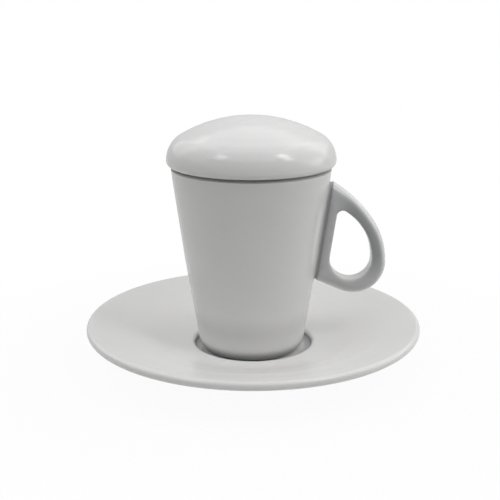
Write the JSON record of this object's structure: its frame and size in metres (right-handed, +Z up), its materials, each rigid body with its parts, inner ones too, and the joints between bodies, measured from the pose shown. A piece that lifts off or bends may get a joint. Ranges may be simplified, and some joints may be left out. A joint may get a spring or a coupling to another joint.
{
  "type": "lidded cup with saucer",
  "caption": "Tall tapered glazed porcelain cup with a teardrop loop handle, a loose domed lid and a wide saucer with a sunken well. The lid lifts off the cup and the cup off the saucer.",
  "frame": {"origin": "middle of the saucer's foot ring, on the surface that it stands on", "axes": "+Z up, +X towards the handle"},
  "size_m": [0.15, 0.15, 0.1107],
  "materials": {
    "saucer_porcelain": "clear gloss glaze, bare foot ring",
    "cup_porcelain": "clear gloss glaze, bare foot ring",
    "handle_porcelain": "clear gloss glaze",
    "lid_porcelain": "clear gloss glaze, bare seat"
  },
  "bodies": {
    "saucer": {"saucer": "saucer_porcelain"},
    "cup": {"cup_body": "cup_porcelain", "cup_handle": "handle_porcelain"},
    "lid": {"lid": "lid_porcelain"}
  },
  "joints": [
    {"name": "cup_lift", "type": "slide", "parent": "saucer", "child": "cup", "axis": [0, 0, 1], "range_m": [0, 0.08]},
    {"name": "lid_lift", "type": "slide", "parent": "cup", "child": "lid", "axis": [0, 0, 1], "range_m": [0, 0.06]}
  ]
}
